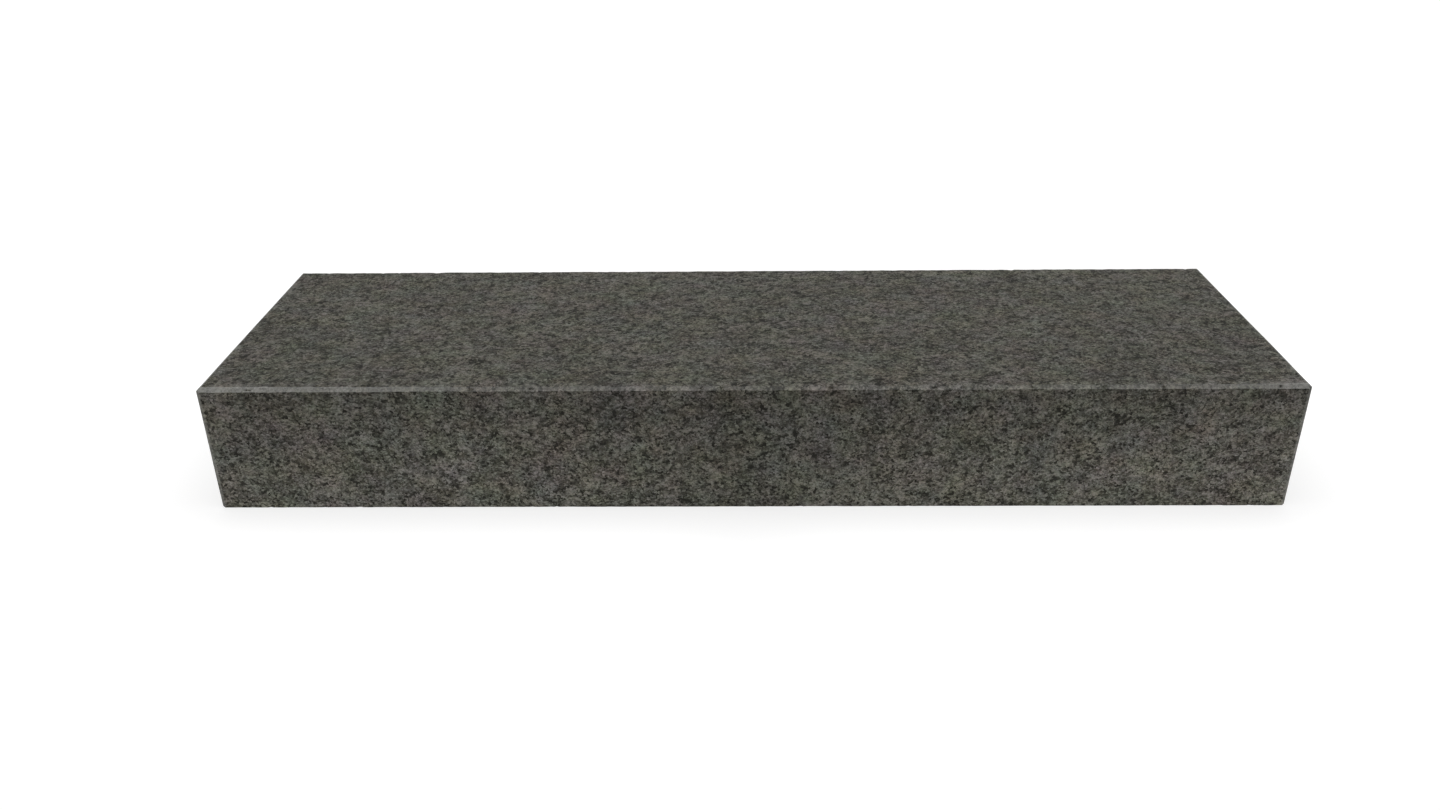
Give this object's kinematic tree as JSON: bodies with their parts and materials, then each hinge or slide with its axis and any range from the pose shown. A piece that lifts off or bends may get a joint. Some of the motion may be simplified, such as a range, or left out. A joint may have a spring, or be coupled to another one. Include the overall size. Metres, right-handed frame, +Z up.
{
  "type": "stone block step",
  "caption": "Solid rectangular block of dark grey granite with ground arrises round its tread and riser, laid whole as a step of an outdoor stair.",
  "frame": {"origin": "centre of the underside, on the floor that the block lies on", "axes": "+X along the block's length, +Y from the riser towards the back, +Z up out of the tread"},
  "size_m": [1.2, 0.35, 0.15],
  "materials": {
    "flamed_granite": "flamed"
  },
  "bodies": {
    "root": {"block_step": "flamed_granite"}
  },
  "joints": []
}
